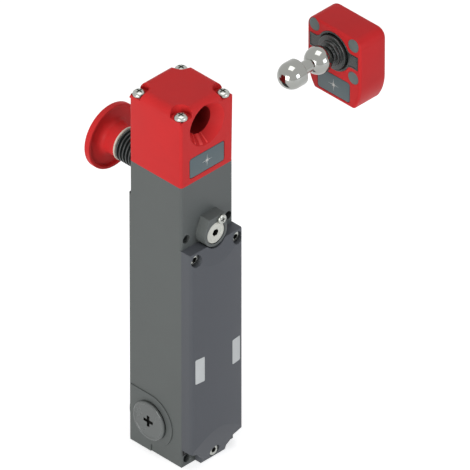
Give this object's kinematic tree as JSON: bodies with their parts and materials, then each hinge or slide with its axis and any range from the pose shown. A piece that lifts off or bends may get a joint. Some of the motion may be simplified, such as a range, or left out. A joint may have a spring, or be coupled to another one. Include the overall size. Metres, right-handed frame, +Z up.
{
  "type": "tongue interlock switch",
  "caption": "Upright guard interlock switch with a red funnel-entry head, grey body, rear mushroom escape button, front release device and a separate actuator with a jointed pin.",
  "frame": {"origin": "centre of the four fixing holes, on the mounting face", "axes": "+Z up along the body, -Y towards the front with the entry hole, +X to the right seen from the front"},
  "size_m": [0.142, 0.0994, 0.2361],
  "materials": {
    "grey_body": "satin",
    "grey_cover": "satin",
    "red_head": "satin",
    "red_actuator": "satin",
    "grey_plate": "satin",
    "grey_cap": "satin",
    "black_plastic": "satin",
    "black_seal": "matte",
    "black_bellows": "satin",
    "pale_ring": "matte",
    "light_disc": "satin",
    "white_window": "frosted",
    "zinc_screw": "satin",
    "steel": "satin",
    "chrome_pin": "polished",
    "copper_coil": "varnished",
    "green_board": "satin",
    "green_terminal": "matte"
  },
  "bodies": {
    "switch": {"housing": "grey_body", "head": "red_head", "head_gasket": "black_seal", "head_screws": "zinc_screw", "head_plate": "grey_plate", "reader_board": "green_board", "cover": "grey_cover", "cover_gasket": "black_seal", "cover_screws": "zinc_screw", "led_window_left": "white_window", "led_window_right": "white_window", "sealing_screw": "zinc_screw", "plug_left": "grey_body", "plug_right": "grey_body", "plug_seals": "black_seal", "circuit_board": "green_board", "board_parts": "black_plastic", "terminal_block": "green_terminal", "terminal_screws": "zinc_screw", "solenoid_yoke": "steel", "solenoid_coil": "copper_coil", "lock_spring": "steel", "escape_bellows": "black_bellows"},
    "lock": {"lock_bolt": "steel", "lock_plunger": "steel"},
    "release": {"release_disc": "light_disc", "release_shaft": "steel"},
    "escape": {"escape_button": "red_head", "escape_rod": "steel", "bellows_ring": "pale_ring"},
    "actuator": {"actuator_shell": "red_actuator", "actuator_back": "red_actuator", "actuator_band": "black_plastic", "actuator_plate": "grey_plate", "coded_tag": "black_plastic", "actuator_caps": "grey_cap", "pivot_seat": "black_plastic"},
    "pivot": {"pivot_ball": "steel", "cross_pin": "steel"},
    "pin": {"actuator_pin": "chrome_pin", "pin_collar": "black_plastic"}
  },
  "joints": [
    {"name": "lock_slide", "type": "slide", "parent": "switch", "child": "lock", "axis": [0, 0, 1], "range_m": [0, 0.0037], "deforming": ["lock_spring"]},
    {"name": "release_turn", "type": "hinge", "parent": "switch", "child": "release", "pos_m": [0, -0.0412, 0.07355], "axis": [0, -1, 0], "range_deg": [0, 90]},
    {"name": "escape_push", "type": "slide", "parent": "switch", "child": "escape", "axis": [0, -1, 0], "range_m": [0, 0.008], "stiffness_N_per_m": 300, "deforming": ["escape_bellows"]},
    {"name": "guard_swing", "type": "hinge", "parent": "switch", "child": "actuator", "pos_m": [0.02655, -0.01415, 0.14245], "axis": [0, 0, -1], "range_deg": [0, 90]},
    {"name": "pin_yaw", "type": "hinge", "parent": "actuator", "child": "pivot", "pos_m": [0.1061, -0.0407, 0.14245], "axis": [0, 0, 1], "range_deg": [-3.5, 3.5], "stiffness_Nm_per_rad": 2},
    {"name": "pin_pitch", "type": "hinge", "parent": "pivot", "child": "pin", "pos_m": [0.1061, -0.0407, 0.14245], "axis": [0, 1, 0], "range_deg": [-3.5, 3.5], "stiffness_Nm_per_rad": 2}
  ]
}
